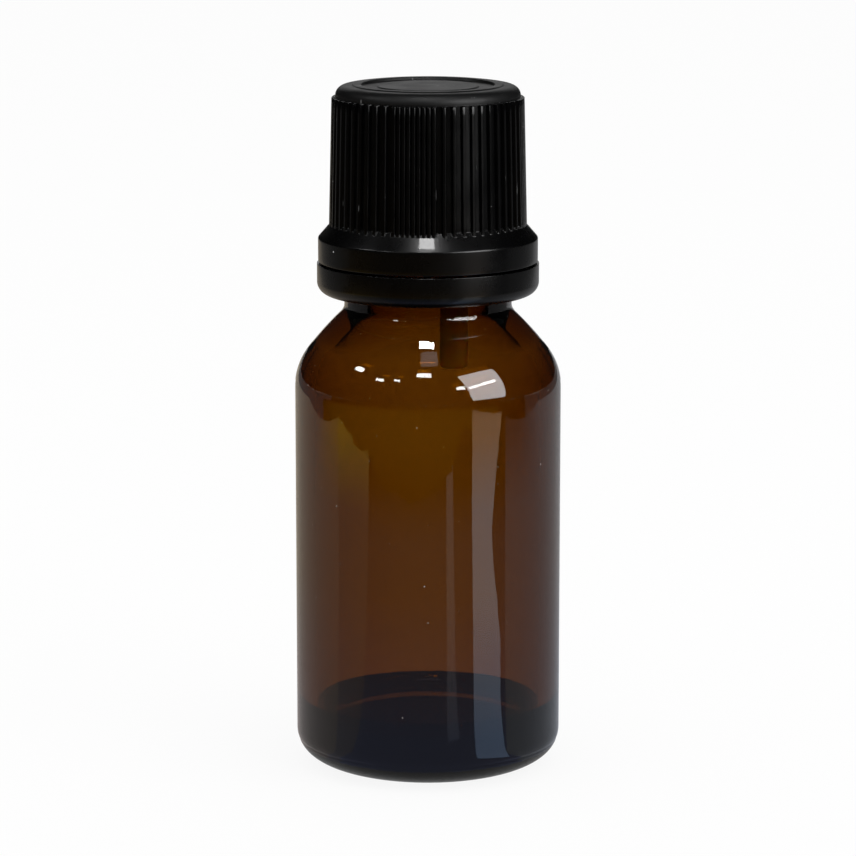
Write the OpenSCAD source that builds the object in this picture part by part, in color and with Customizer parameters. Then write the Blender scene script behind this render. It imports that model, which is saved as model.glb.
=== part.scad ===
// Amber glass dropper bottle with a push-in vertical dropper insert and a ribbed
// screw cap that carries a tamper-evident ring. Millimetres, +Z up, origin on the
// bottle's axis in the plane of the table, front of the bottle towards -Y.

/* [Glass body] */
// Outer diameter of the straight glass wall
body_d = 28.5; // [27:0.25:32]
// Height of the glass from the table to the lip
glass_h = 65; // [60:0.5:90]
// Thickness of the straight glass wall
wall_t = 2.1; // [1.4:0.1:2.6]
// Radius of the shoulder arc between the wall and the sloping shoulder
shoulder_r = 7.1; // [5.5:0.1:8]
// Slope of the shoulder from the horizontal, in degrees
shoulder_slope = 47.6; // [40:0.2:55]
// Thickness of the glass where the sloping shoulder begins
shoulder_t = 1.8; // [1.4:0.1:2.4]
// Slope of the shoulder's inner face from the horizontal, in degrees
inner_slope = 41; // [38:1:48]
// Height at which the rounded heel meets the straight wall
heel_h = 3.9; // [2.5:0.1:5]
// Height of the heel curve's corner above the table
heel_drop = 0.6; // [0.3:0.1:1.2]
// Outer radius of the narrow ring that the bottle stands on
bearing_r = 9.4; // [8:0.1:11]
// Width of the ring that the bottle stands on
bearing_w = 0.8; // [0.4:0.1:1.2]
// Height of the hollow under the base
push_up_h = 1.1; // [0.4:0.1:2]
// Height of the inner floor at its edge
floor_z = 5.4; // [3.5:0.1:7]
// Rise of the inner floor from its edge to its middle
floor_crown_h = 0.7; // [0:0.1:1.2]
// Radius between the inner floor and the wall
floor_corner_r = 2; // [1:0.1:3]

/* [Neck finish] */
// Length of the neck from its foot on the shoulder to the lip
neck_len = 15.2; // [14.6:0.1:20]
// Outer diameter of the neck below the tamper bead
neck_d = 17.9; // [17:0.1:18.1]
// Outer diameter of the neck between the thread turns
finish_d = 16.2; // [15.4:0.1:16.6]
// Diameter over the neck's thread, which the cap's bore clears
thread_d = 17.9; // [17.5:0.1:18.1]
// Diameter of the neck's bore
bore_d = 12; // [11:0.1:12.4]
// Rounding of the bore's foot, where it opens into the shoulder
bore_round = 2.2; // [0.8:0.1:2.4]
// Outer diameter of the bead that holds the tamper ring down
bead_d = 19.8; // [19.4:0.1:20.2]
// Height of the bead
bead_h = 1.9; // [1.4:0.1:2.2]
// Distance from the lip down to the underside of the bead
bead_drop = 11.7; // [11.4:0.1:12]
// Rounding of the bead's edges
bead_round = 0.5; // [0.3:0.05:0.6]
// Rounding of the lip's outer edge
lip_r = 0.9; // [0.4:0.1:1]
// Rounding of the glass's smaller edges, at the mouth and the neck's foot
glass_edge = 0.45; // [0.3:0.05:0.6]

/* [Dropper insert] */
// Diameter of the flange that rests on the lip
flange_d = 14.6; // [13.6:0.1:15.6]
// Thickness of the flange
flange_t = 1; // [0.7:0.1:1.4]
// Depth of the plug below the lip
plug_depth = 7.5; // [6.5:0.1:9]
// Wall thickness of the plug
plug_wall = 0.9; // [0.6:0.1:1.2]
// Radial gap between the plug's wall and the bore
plug_gap = 0.12; // [0.06:0.02:0.2]
// Radial squeeze of the plug's sealing rings in the bore
plug_squeeze = 0.03; // [0.01:0.01:0.05]
// Height of the lower sealing ring above the foot of the plug
seal_z = 2; // [1.6:0.1:2.4]
// Spacing of the two sealing rings
seal_pitch = 2.5; // [1.5:0.1:3]
// Thickness of the web that closes the plug
web_t = 1; // [0.7:0.1:1.4]
// Height of the nozzle's mouth above the lip
nozzle_h = 6; // [4.5:0.1:8]
// Outer diameter of the nozzle at its root
nozzle_root_d = 4.2; // [3.4:0.1:4.6]
// Outer diameter of the nozzle at its mouth
nozzle_tip_d = 5.2; // [4.4:0.1:6]
// Diameter of the nozzle's bore
nozzle_bore_d = 2.2; // [1.6:0.1:2.4]
// Length of the nozzle's flared mouth
mouth_h = 2; // [1.6:0.1:3]
// Diameter of the drop orifice in the web
orifice_d = 0.9; // [0.6:0.1:1.2]
// Outer diameter of the vent tube
vent_d = 3; // [2.4:0.1:3.2]
// Diameter of the air hole in the vent tube
vent_bore_d = 1; // [0.8:0.1:1.2]
// Land between the nozzle's root and the air hole
vent_land = 0.15; // [0.1:0.05:0.3]
// Distance from the lip down to the end of the vent tube
vent_drop = 22.1; // [14:0.2:30]

/* [Screw cap] */
// Thickness of the crown
crown_t = 1.3; // [1:0.05:1.6]
// Diameter of the cap over the ribs at their top
grip_top_d = 20.46; // [20:0.02:21]
// Diameter of the cap over the ribs at their foot
grip_foot_d = 21.08; // [20.6:0.02:21.6]
// Depth of the grooves between the ribs
rib_depth = 0.36; // [0.2:0.02:0.5]
// Width of a rib at its root
rib_w = 0.52; // [0.4:0.02:0.56]
// Width of a rib at its crest
rib_crest_w = 0.34; // [0.2:0.02:0.4]
// Number of coarse rib positions round the cap
rib_count = 60; // [48:4:60]
// Number of groups of fine ribs round the cap
rib_groups = 4; // [2:1:4]
// Number of coarse positions in each group that carry a rib in between
fine_per_group = 4; // [0:1:6]
// Distance from the top of the cap down to the top of the ribs
rib_top_drop = 1.32; // [1.1:0.02:1.8]
// Diameter of the crown at the top of the ribs
crown_d = 19.66; // [19.4:0.02:19.9]
// Diameter of the flat top inside the crown's rounded edge
crown_flat_d = 17.4; // [17:0.1:18]
// Outer diameter of the band below the ribs
band_d = 23.44; // [23.2:0.02:24]
// Height of the band above the cut
band_h = 2.62; // [2:0.02:3.2]
// Height of the flare between the band and the foot of the ribs
flare_h = 1.36; // [1.2:0.02:2.4]
// Radial gap between the cap's bore and the neck's thread
thread_gap = 0.2; // [0.1:0.05:0.3]
// Radial gap between the bead and the band round it
bead_gap = 0.6; // [0.4:0.05:0.8]
// Outer diameter of the raised ring on the top
top_ring_d = 15.9; // [15:0.1:16.4]
// Width of the raised ring on the top
top_ring_w = 1; // [0.6:0.1:1.4]
// Depth of the face inside the raised ring
top_recess = 0.32; // [0.24:0.02:0.5]
// Diameter of the low disc in the middle of the top
top_disc_d = 10.6; // [8:0.1:12]
// Height of the low disc in the middle of the top
top_disc_h = 0.16; // [0.08:0.02:0.22]
// Drop from the raised ring to the flat round it
top_step = 0.12; // [0.06:0.02:0.3]
// Softening of the small steps and edges in the black plastic
edge_r = 0.15; // [0.08:0.01:0.2]

/* [Cap liner] */
// Diameter of the sealing liner
liner_d = 16.9; // [16:0.1:17.2]
// Thickness of the sealing liner
liner_t = 1; // [0.6:0.1:1.2]
// Gap between the liner and the parts that turn against it
liner_gap = 0.08; // [0.05:0.01:0.15]

/* [Tamper ring] */
// Outer diameter of the tamper ring
ring_d = 23.7; // [23.4:0.02:24.2]
// Height of the tamper ring from its foot to the middle of the cut
ring_h = 3.38; // [2.8:0.02:3.6]
// Height of the cut between the cap and the tamper ring
split_gap = 0.2; // [0.1:0.02:0.4]
// Distance from the underside of the bead up to the middle of the cut
split_rise = 1.54; // [1.2:0.02:2]
// Rounding of the ring's lower outer edge
ring_round_r = 1.3; // [0.6:0.1:1.3]
// Gap between the ring's lugs and the neck
lug_gap = 0.35; // [0.2:0.05:0.5]
// Gap between the top of the ring's lugs and the bead above them
lug_headroom = 0.25; // [0.15:0.05:0.4]
// Number of lugs that hold the ring under the bead
lug_count = 8; // [6:1:10]
// Width of the slots between the lugs
lug_slot_w = 2; // [1.5:0.1:3]
// Number of bridge stubs along the cut
bridge_count = 12; // [6:1:16]
// Width of a bridge stub
bridge_w = 0.8; // [0.5:0.1:1.2]
// Gap left between a broken bridge stub and the ring
stub_gap = 0.05; // [0.03:0.01:0.08]

/* [Hidden] */
$fn = 96;
// Straight steps along a large rounded stretch of an outline, and along a small edge
arc_steps = 14;
edge_steps = 5;
// Direction of the bottle's front, and of the first coarse rib from there
front = -90;
first_rib = -20.5;

// Glass
body_r = body_d / 2;
neck_r = neck_d / 2;
finish_r = finish_d / 2;
bore_r = bore_d / 2;
bead_r = bead_d / 2;
neck_foot_z = glass_h - neck_len;
shoulder_arc = 90 - shoulder_slope;
shoulder_c = body_r - shoulder_r;
cone_rise = (shoulder_c + shoulder_r * cos(shoulder_arc) - neck_r) * tan(shoulder_slope);
shoulder_z = neck_foot_z - cone_rise - shoulder_r * sin(shoulder_arc);
bead_z = glass_h - bead_drop;
bead_top_z = bead_z + bead_h;
inner_r = body_r - wall_t;
inner_arc = 90 - inner_slope;
// The inner arc leaves the wall upright and comes to shoulder_t from the slope
slope_share = cos(shoulder_arc);
inner_shoulder_r = (shoulder_r - shoulder_t - (shoulder_r - wall_t) * slope_share) / (1 - slope_share);
inner_shoulder_c = inner_r - inner_shoulder_r;
inner_end_r = inner_shoulder_c + inner_shoulder_r * cos(inner_arc);
inner_end_z = shoulder_z + inner_shoulder_r * sin(inner_arc);
bore_foot_z = inner_end_z + (inner_end_r - bore_r) * tan(inner_slope);
floor_edge_r = inner_r - floor_corner_r;

// Dropper insert
plug_r = bore_r - plug_gap;
plug_in_r = plug_r - plug_wall;
plug_z = glass_h - plug_depth;
web_top_z = plug_z + web_t;
flange_r = flange_d / 2;
nozzle_z = glass_h + nozzle_h;
root_r = nozzle_root_d / 2;
tip_r = nozzle_tip_d / 2;
nozzle_bore_r = nozzle_bore_d / 2;
vent_r = vent_d / 2;
vent_x = root_r + vent_land + vent_bore_d / 2;
vent_end_z = glass_h - vent_drop;

// Cap liner, pressed on the nozzle's mouth
liner_r = liner_d / 2;
liner_z = nozzle_z + liner_gap;
liner_top_z = liner_z + liner_t;
liner_seat_r = liner_r + liner_gap;

// Screw cap, from the liner up and from the cut down to the neck's bead
crown_under_z = liner_top_z + liner_gap;
recess_z = crown_under_z + crown_t;
cap_top_z = recess_z + top_recess;
crown_flat_z = cap_top_z - top_step;
crown_foot_z = cap_top_z - rib_top_drop + edge_r;
rib_top_z = cap_top_z - rib_top_drop;
split_z = bead_z + split_rise;
cap_foot_z = split_z + split_gap / 2;
band_r = band_d / 2;
band_in_r = bead_r + bead_gap;
band_top_z = split_z + band_h;
rib_foot_z = band_top_z + flare_h;
flare_slope = flare_h / (band_r - grip_foot_d / 2);
groove_foot_r = grip_foot_d / 2 - rib_depth;
groove_foot_z = rib_foot_z + rib_depth * flare_slope;
cap_bore_r = thread_d / 2 + thread_gap;
skirt_t = groove_foot_r - cap_bore_r;
rib_in_r = cap_bore_r + skirt_t / 2;
rib_run_z = rib_foot_z - flare_h / 3;
top_ring_r = top_ring_d / 2;
top_disc_r = top_disc_d / 2;
stub_h = split_gap - stub_gap;

// Tamper ring, held under the bead
ring_r = ring_d / 2;
ring_top_z = split_z - split_gap / 2;
ring_foot_z = split_z - ring_h;
lug_r = neck_r + lug_gap;
lug_top_z = bead_z - lug_headroom;

// Points along an ellipse's arc, from angle a to angle b
function arc(c, rx, rz, a, b, n = arc_steps) =
    [for (i = [0:n]) let (t = a + (b - a) * i / n) c + [rx * cos(t), rz * sin(t)]];

// Points along a curve that leaves p0 towards p1 and comes to p2 from there
function curve(p0, p1, p2, n = arc_steps) =
    [for (i = [0:n]) let (t = i / n) (1 - t) * (1 - t) * p0 + 2 * t * (1 - t) * p1 + t * t * p2];

// The corner p, softened by r on both sides, between directions a and b
function soft(p, r, a, b) = curve(p + r * a, p, p + r * b, edge_steps);

// Under the base and up the outside to the shoulder
function glass_outside() = concat(
    curve([0, push_up_h], [(bearing_r - bearing_w) * 0.7, push_up_h], [bearing_r - bearing_w, 0]),
    curve([bearing_r, 0], [body_r, heel_drop], [body_r, heel_h]),
    arc([shoulder_c, shoulder_z], shoulder_r, shoulder_r, 0, shoulder_arc)
);

// From the foot of the neck up to the lip
function neck_outside() = concat(
    soft([neck_r, neck_foot_z], glass_edge, [1, -tan(shoulder_slope)], [0, 1]),
    soft([neck_r, bead_z], glass_edge, [0, -1], [0.6, 0]),
    soft([bead_r, bead_z], bead_round, [-1, 0], [0, 1]),
    soft([bead_r, bead_top_z - bead_round], bead_round, [0, -1], [-1.4, 0.6]),
    [[finish_r, bead_top_z]],
    arc([finish_r - lip_r, glass_h - lip_r], lip_r, lip_r, 0, 90, edge_steps)
);

// Down the bore and the inside to the middle of the floor
function glass_inside() = concat(
    arc([bore_r + glass_edge, glass_h - glass_edge], glass_edge, glass_edge, 90, 180, edge_steps),
    soft([bore_r, bore_foot_z], bore_round, [0, 1], [cos(inner_slope), -sin(inner_slope)]),
    arc([inner_shoulder_c, shoulder_z], inner_shoulder_r, inner_shoulder_r, inner_arc, 0),
    arc([floor_edge_r, floor_z + floor_corner_r], floor_corner_r, floor_corner_r, 0, -90),
    let (floor_top_z = floor_z + floor_crown_h)
    curve([floor_edge_r, floor_z], [floor_edge_r * 0.5, floor_top_z], [0, floor_top_z])
);

module glass_bottle() {
    color([0.36, 0.19, 0.03, 0.75])
    rotate_extrude()
    polygon(concat(glass_outside(), neck_outside(), glass_inside()));
}

// Flange, hollow plug, web and nozzle in one outline
module dropper_body() {
    flange_top_z = glass_h + flange_t;
    flange_edge = 0.3 * flange_t;
    rotate_extrude()
    polygon(concat(
        [[orifice_d / 2, plug_z]],
        soft([plug_r, plug_z], web_t / 2, [-1, 0], [0, 1.6]),
        [[plug_r, glass_h]],
        soft([flange_r, glass_h], flange_edge / 2, [-1, 0], [0, 1]),
        soft([flange_r, flange_top_z], flange_edge, [0, -1], [-1, 0]),
        soft([plug_in_r, flange_top_z], flange_edge, [1, 0], [0, -1]),
        [[plug_in_r, web_top_z], [root_r, web_top_z]],
        soft([root_r, nozzle_z - mouth_h], mouth_h / 4, [0, -1], [0.3, 1]),
        soft([tip_r, nozzle_z], mouth_h / 5, [0, -1.5], [-1, 0]),
        curve([tip_r - mouth_h / 3, nozzle_z], [nozzle_bore_r, nozzle_z - mouth_h / 4],
              [nozzle_bore_r, nozzle_z - mouth_h]),
        [[nozzle_bore_r, web_top_z + nozzle_bore_r], [orifice_d / 2, web_top_z]]
    ));
}

// One sealing ring round the plug, a half-round swelling on its wall
module seal_ring(z) {
    swell = plug_gap + plug_squeeze;
    translate([0, 0, z])
    rotate_extrude()
    polygon(concat(
        [[plug_r - plug_wall / 3, -plug_wall / 2]],
        arc([plug_r, 0], swell, plug_wall / 2, -90, 90, edge_steps),
        [[plug_r - plug_wall / 3, plug_wall / 2]]
    ));
}

module vent_tube() {
    foot_round = vent_r / 3;
    translate([vent_x, 0, vent_end_z])
    rotate_extrude()
    polygon(concat(
        [[0, 0]],
        soft([vent_r, 0], foot_round, [-1, 0], [0, 1]),
        [[vent_r, web_top_z - web_t / 2 - vent_end_z], [0, web_top_z - web_t / 2 - vent_end_z]]
    ));
}

module dropper_insert() {
    color([0.86, 0.87, 0.85, 0.8])
    difference() {
        union() {
            dropper_body();
            seal_ring(plug_z + seal_z);
            seal_ring(plug_z + seal_z + seal_pitch);
            vent_tube();
        }
        translate([vent_x, 0, vent_end_z - web_t])
        cylinder(d = vent_bore_d, h = web_top_z - vent_end_z + 2 * web_t);
    }
}

module cap_liner() {
    bevel = liner_t / 5;
    color("whitesmoke")
    rotate_extrude()
    polygon([
        [0, liner_z],
        [liner_r - bevel, liner_z],
        [liner_r, liner_z + bevel],
        [liner_r, liner_top_z],
        [0, liner_top_z]
    ]);
}

// Liner seat, bore and counterbore, up the inside of the cap and down again
function cap_inside() = [
    [0, crown_under_z],
    [liner_seat_r, crown_under_z],
    [liner_seat_r, liner_z - liner_gap],
    [cap_bore_r, liner_z - liner_gap - (cap_bore_r - liner_seat_r)],
    [cap_bore_r, groove_foot_z - skirt_t],
    [band_in_r, groove_foot_z - skirt_t - (band_in_r - cap_bore_r)],
    [band_in_r, cap_foot_z]
];

// Band, flare, tapered skirt, rounded crown and the stepped rings on the top
function cap_outside() = concat(
    soft([band_r, cap_foot_z], edge_r, [-1, 0], [0, 1]),
    soft([band_r, band_top_z], edge_r, [0, -1], [-0.5, 0.5 * flare_slope]),
    [[groove_foot_r, groove_foot_z]],
    arc([crown_flat_d / 2, crown_foot_z], (crown_d - crown_flat_d) / 2, crown_flat_z - crown_foot_z, 0, 90),
    [[top_ring_r + top_step, crown_flat_z]],
    soft([top_ring_r, cap_top_z], top_step, [0.5, -0.5], [-1, 0]),
    [[top_ring_r - top_ring_w + edge_r, cap_top_z], [top_ring_r - top_ring_w, recess_z]],
    [[top_disc_r + top_disc_h, recess_z], [top_disc_r, recess_z + top_disc_h], [0, recess_z + top_disc_h]]
);

module cap_shell() {
    rotate_extrude()
    polygon(concat(cap_inside(), cap_outside()));
}

// One upright blade, wider at its root, that the grip's taper trims to a rib
module blade(angle) {
    flank = (rib_w - rib_crest_w) / rib_depth;
    rotate([0, 0, front + angle])
    translate([0, 0, rib_run_z])
    linear_extrude(height = rib_top_z + flare_h - rib_run_z)
    polygon([for (x = [[rib_in_r - rib_depth, -1], [grip_foot_d / 2 + rib_depth / 2, -1],
                       [grip_foot_d / 2 + rib_depth / 2, 1], [rib_in_r - rib_depth, 1]])
        [x[0], x[1] * (rib_crest_w + flank * (grip_foot_d / 2 - x[0])) / 2]]);
}

// Coarse ribs all round, with a finer pitch over the first stretch of each group
module blades() {
    pitch = 360 / rib_count;
    per_group = rib_count / rib_groups;
    for (k = [0:rib_count - 1]) {
        blade(first_rib + k * pitch);
        if (k % per_group < fine_per_group)
            blade(first_rib + (k + 0.5) * pitch);
    }
}

// The blades, trimmed to the tapered grip; their feet run out on the flare
module grip_ribs() {
    intersection() {
        rotate_extrude()
        polygon([
            [rib_in_r, rib_run_z],
            [grip_foot_d / 2, rib_run_z],
            [grip_foot_d / 2, rib_foot_z],
            [grip_top_d / 2, rib_top_z],
            [rib_in_r, rib_top_z]
        ]);
        blades();
    }
}

// What is left of the broken bridges on the cap's lower edge
module bridge_stubs() {
    stub_t = (band_r - band_in_r) / 2;
    for (k = [0:bridge_count - 1])
        rotate([0, 0, k * 360 / bridge_count])
        translate([band_in_r + stub_t / 2, -bridge_w / 2, cap_foot_z - stub_h])
        cube([stub_t, bridge_w, 2 * stub_h]);
}

module screw_cap() {
    color([0.05, 0.05, 0.055])
    union() {
        cap_shell();
        grip_ribs();
        bridge_stubs();
    }
}

module tamper_ring() {
    color([0.05, 0.05, 0.055])
    difference() {
        rotate_extrude()
        polygon(concat(
            [[lug_r, ring_foot_z]],
            arc([ring_r - ring_round_r, ring_foot_z + ring_round_r], ring_round_r, ring_round_r, -90, 0),
            soft([ring_r, ring_top_z], edge_r, [0, -1], [-1, 0]),
            [[band_in_r, ring_top_z], [band_in_r, lug_top_z - lug_gap], [lug_r, lug_top_z]]
        ));
        for (k = [0:lug_count - 1])
            rotate([0, 0, (k + 0.5) * 360 / lug_count])
            translate([0, -lug_slot_w / 2, ring_foot_z - ring_h])
            cube([band_in_r, lug_slot_w, lug_top_z - ring_foot_z + 2 * ring_h]);
    }
}

glass_bottle();
dropper_insert();
cap_liner();
screw_cap();
tamper_ring();
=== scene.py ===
# Amber glass dropper bottle: the finish of every surface, the studio and the camera.
# Lengths are in millimetres, and are brought to metres where a mesh, a lamp or the camera is made.
# Inside the materials, noise scales are per metre and distances are in metres.
import math

import bmesh
import bpy
import numpy as np
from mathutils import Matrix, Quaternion, Vector

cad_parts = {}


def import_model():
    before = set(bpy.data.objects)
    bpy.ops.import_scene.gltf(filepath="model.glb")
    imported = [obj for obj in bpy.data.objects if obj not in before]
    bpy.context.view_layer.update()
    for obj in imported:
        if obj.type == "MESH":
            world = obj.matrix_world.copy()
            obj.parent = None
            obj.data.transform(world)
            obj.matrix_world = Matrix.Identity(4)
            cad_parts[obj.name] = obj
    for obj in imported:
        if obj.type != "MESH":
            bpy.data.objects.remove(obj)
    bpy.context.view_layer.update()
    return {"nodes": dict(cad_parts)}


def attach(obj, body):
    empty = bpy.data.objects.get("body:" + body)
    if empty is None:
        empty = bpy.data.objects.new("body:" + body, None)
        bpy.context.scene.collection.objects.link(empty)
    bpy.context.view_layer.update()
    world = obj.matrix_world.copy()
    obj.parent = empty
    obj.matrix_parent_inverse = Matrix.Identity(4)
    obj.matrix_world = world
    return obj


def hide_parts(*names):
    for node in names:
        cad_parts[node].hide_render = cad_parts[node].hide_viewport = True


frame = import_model()

MM = 0.001
FRONT = math.radians(-90)

# How near two lengths count as the same
NEAR = 0.001

# Glass, as in the part's source
BODY_R = 14.25
GLASS_H = 65.0
WALL_T = 2.1
SHOULDER_T = 1.8
SHOULDER_R = 7.1
SHOULDER_SLOPE = math.radians(47.6)
INNER_SLOPE = math.radians(41)
HEEL_H = 3.9
HEEL_DROP = 0.6
BEARING_R = 9.4
BEARING_W = 0.8
PUSH_UP_H = 1.1
PUSH_UP_FLAT = 0.7
FLOOR_Z = 5.4
FLOOR_CROWN_H = 0.7
FLOOR_CORNER_R = 2.0
NECK_R = 8.95
NECK_FOOT_Z = 49.8
FINISH_R = 8.1
BORE_R = 6.0
BORE_ROUND = 2.2
BEAD_R = 9.9
BEAD_Z = 53.3
BEAD_TOP_Z = 55.2
BEAD_ROUND = 0.5
LIP_R = 0.9
GLASS_EDGE = 0.45
SHOULDER_C = BODY_R - SHOULDER_R
SHOULDER_ARC = math.pi / 2 - SHOULDER_SLOPE
CONE_RISE = (SHOULDER_C + SHOULDER_R * math.cos(SHOULDER_ARC) - NECK_R) * math.tan(SHOULDER_SLOPE)
SHOULDER_Z = NECK_FOOT_Z - CONE_RISE - SHOULDER_R * math.sin(SHOULDER_ARC)
INNER_R = BODY_R - WALL_T
INNER_ARC = math.pi / 2 - INNER_SLOPE
SLOPE_SHARE = math.cos(SHOULDER_ARC)
INNER_SHOULDER_R = (SHOULDER_R - SHOULDER_T - (SHOULDER_R - WALL_T) * SLOPE_SHARE) / (1 - SLOPE_SHARE)
INNER_SHOULDER_C = INNER_R - INNER_SHOULDER_R
INNER_END_R = INNER_SHOULDER_C + INNER_SHOULDER_R * math.cos(INNER_ARC)
INNER_END_Z = SHOULDER_Z + INNER_SHOULDER_R * math.sin(INNER_ARC)
BORE_FOOT_Z = INNER_END_Z + (INNER_END_R - BORE_R) * math.tan(INNER_SLOPE)
FLOOR_EDGE_R = INNER_R - FLOOR_CORNER_R

# How far the cone of the shoulder swells past its straight line
CONE_BULGE = 0.07

# Parting line low on the heel, and the two upright mould seams, which show on the heel and the shoulder
PARTING_Z = 2.75
PARTING_H = 0.05
PARTING_W = 0.16
SEAM_H = 0.035
SEAM_W = 0.22
SEAM_FROM_R = INNER_R + 0.2

# Thread on the neck and in the cap, right-hand, one start
PITCH = 3.0
THREAD_H = 0.8
THREAD_FOOT_W = 0.8
THREAD_CREST_W = 0.36
NECK_THREAD_Z = 58.2
NECK_THREAD_TURNS = 1.6
CAP_THREAD_FROM = 0.95
CAP_THREAD_TURNS = 1.4
THREAD_FADE = 0.09

# Cap, as in the part's source
CAP_TOP_Z = 73.78
RECESS_Z = 73.46
CROWN_FLAT_Z = 73.66
CROWN_FOOT_Z = 72.61
CROWN_R = 9.83
CROWN_FLAT_R = 8.7
TOP_RING_R = 7.95
TOP_RING_W = 1.0
TOP_RING_ROUND = 0.12
TOP_STEP = 0.12
TOP_ROUND = 0.08
TOP_FLAT_END = 0.1
TOP_DISC_R = 5.3
TOP_DISC_H = 0.16
RIB_TOP_Z = 72.46
RIB_FOOT_Z = 58.82
GRIP_TOP_R = 10.23
GRIP_FOOT_R = 10.54
RIB_DEPTH = 0.36
RIB_W = 0.52
RIB_CREST_W = 0.3
RIB_FILLET = 0.05
RIB_END_H = 0.14
RIB_COUNT = 60
RIB_GROUPS = 4
FINE_PER_GROUP = 4
FIRST_RIB = -20.5
BAND_R = 11.72
BAND_TOP_Z = 57.46
BAND_IN_R = 10.5
BAND_ROUND = 0.13
FLARE_END_W = 0.25
CAP_FOOT_Z = 54.94
CAP_BORE_R = 9.15
SKIRT_T = 1.03
LINER_Z = 71.08
LINER_TOP_Z = 72.08
LINER_R = 8.45
LINER_GAP = 0.08
LINER_BEVEL = 0.2
LINER_ROUND = 0.1
EDGE_R = 0.15
INNER_EDGE_R = 0.1
BRIDGE_COUNT = 12
BRIDGE_W = 0.8
STUB_H = 0.15
FLARE_SLOPE = (RIB_FOOT_Z - BAND_TOP_Z) / (BAND_R - GRIP_FOOT_R)
GROOVE_FOOT_R = GRIP_FOOT_R - RIB_DEPTH
GROOVE_FOOT_Z = RIB_FOOT_Z + RIB_DEPTH * FLARE_SLOPE

# Where the ribs run out on the flare, and which rows of the outline the ribs carve
RUN_OUT_H = 0.2
PAST_RIBS_W = 0.1
PAST_RIBS_H = 0.15
OUTER_SKIN = 0.4
BAND_CLEAR = 0.3

# Tamper ring, as in the part's source
RING_R = 11.85
RING_TOP_Z = 54.74
RING_FOOT_Z = 51.46
RING_ROUND_R = 1.3
CUT_EDGE = 0.06
LUG_R = 9.3
LUG_ROUND = 0.12
LUG_TOP_Z = 53.05
LUG_GAP = 0.35
LUG_COUNT = 8
LUG_SLOT_W = 2.0
SLOT_SLOPE = 0.02

# Mesh steps round each piece, and the angle at which its edges stay crisp
GLASS_COLUMNS = 288
CAP_COLUMNS = 960
RING_COLUMNS = 360
LINER_COLUMNS = 180
CRISP_ANGLE = 50

# Camera that fits the photograph's outline
CAMERA_AT = Vector((0, -414.02, 117.32))
CAMERA_TO = Vector((0, 0, 36.69))
CAMERA_LENS = 164.9
SENSOR_W = 36.0


def arc(cx, cz, r, a, b, steps=24, rz=None):
    """Points along an arc about (cx, cz), from angle a to angle b."""
    rz = r if rz is None else rz
    angles = np.linspace(a, b, steps + 1)
    return [(cx + r * math.cos(t), cz + rz * math.sin(t)) for t in angles]


def curve(p0, p1, p2, steps=24):
    """Points along a curve that leaves p0 towards p1 and comes to p2 from there."""
    points = []
    for t in np.linspace(0, 1, steps + 1):
        weights = ((1 - t) ** 2, 2 * t * (1 - t), t * t)
        points.append(tuple(weights[0] * p0[i] + weights[1] * p1[i] + weights[2] * p2[i] for i in (0, 1)))
    return points


def soft(p, r, a, b, steps=6):
    """The corner p, softened by r on both sides, between directions a and b."""
    start = (p[0] + r * a[0], p[1] + r * a[1])
    end = (p[0] + r * b[0], p[1] + r * b[1])
    return curve(start, p, end, steps)


def line(p0, p1, steps):
    """Points inside the straight stretch from p0 to p1, without its ends."""
    stops = np.linspace(0, 1, steps + 1)[1:-1]
    return [(p0[0] + (p1[0] - p0[0]) * t, p0[1] + (p1[1] - p0[1]) * t) for t in stops]


def eased(share):
    """A share from 0 to 1 with soft ends."""
    return share * share * (3 - 2 * share)


def turn_of(angle):
    """Turns round the axis from the photographed front."""
    return (angle - FRONT) / (2 * math.pi)


def thread_bump(z, turn, z_start, first_turn, turns):
    """Height of a helical thread, from 0 to 1, at height z and position turn round the axis."""
    bump = np.zeros(np.broadcast(z, turn).shape)
    for k in range(math.floor(first_turn), math.ceil(first_turn + turns) + 1):
        run = turn + k
        centre = z_start + PITCH * run
        away = np.abs(z - centre)
        rise = eased(np.clip((THREAD_FOOT_W - away) / (THREAD_FOOT_W - THREAD_CREST_W), 0, 1))
        ends = np.minimum(run - first_turn, first_turn + turns - run) / THREAD_FADE
        bump = np.maximum(bump, rise * np.clip(ends, 0, 1))
    return bump


def spun(name, outline, columns, shape=None, closed=False):
    """A turned piece from its outline, rows of (r, z); shape(r, z, angle) may carve the rows."""
    rows = np.array(outline, dtype=float)
    angle = np.linspace(0, 2 * math.pi, columns, endpoint=False)[None, :]
    r = np.repeat(rows[:, :1], columns, axis=1)
    z = np.repeat(rows[:, 1:], columns, axis=1)
    if shape is not None:
        r, z = shape(r, z, angle)
    mesh = bmesh.new()
    rings = []
    for i in range(len(rows)):
        if not closed and i in (0, len(rows) - 1):
            rings.append([mesh.verts.new((0, 0, float(z[i, 0]) * MM))])
            continue
        x = r[i] * np.cos(angle[0]) * MM
        y = r[i] * np.sin(angle[0]) * MM
        rings.append([mesh.verts.new((x[j], y[j], z[i, j] * MM)) for j in range(columns)])
    pairs = list(zip(rings[:-1], rings[1:]))
    if closed:
        pairs.append((rings[-1], rings[0]))
    for low, high in pairs:
        for j in range(columns):
            k = (j + 1) % columns
            if len(low) == 1:
                mesh.faces.new((low[0], high[k], high[j]))
            elif len(high) == 1:
                mesh.faces.new((low[j], low[k], high[0]))
            else:
                mesh.faces.new((low[j], low[k], high[k], high[j]))
    bmesh.ops.recalc_face_normals(mesh, faces=mesh.faces)
    return finished(name, mesh)


def finished(name, mesh):
    """Links a mesh as a smooth object."""
    data = bpy.data.meshes.new(name)
    mesh.to_mesh(data)
    mesh.free()
    for face in data.polygons:
        face.use_smooth = True
    piece = bpy.data.objects.new(name, data)
    bpy.context.scene.collection.objects.link(piece)
    return piece


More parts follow.
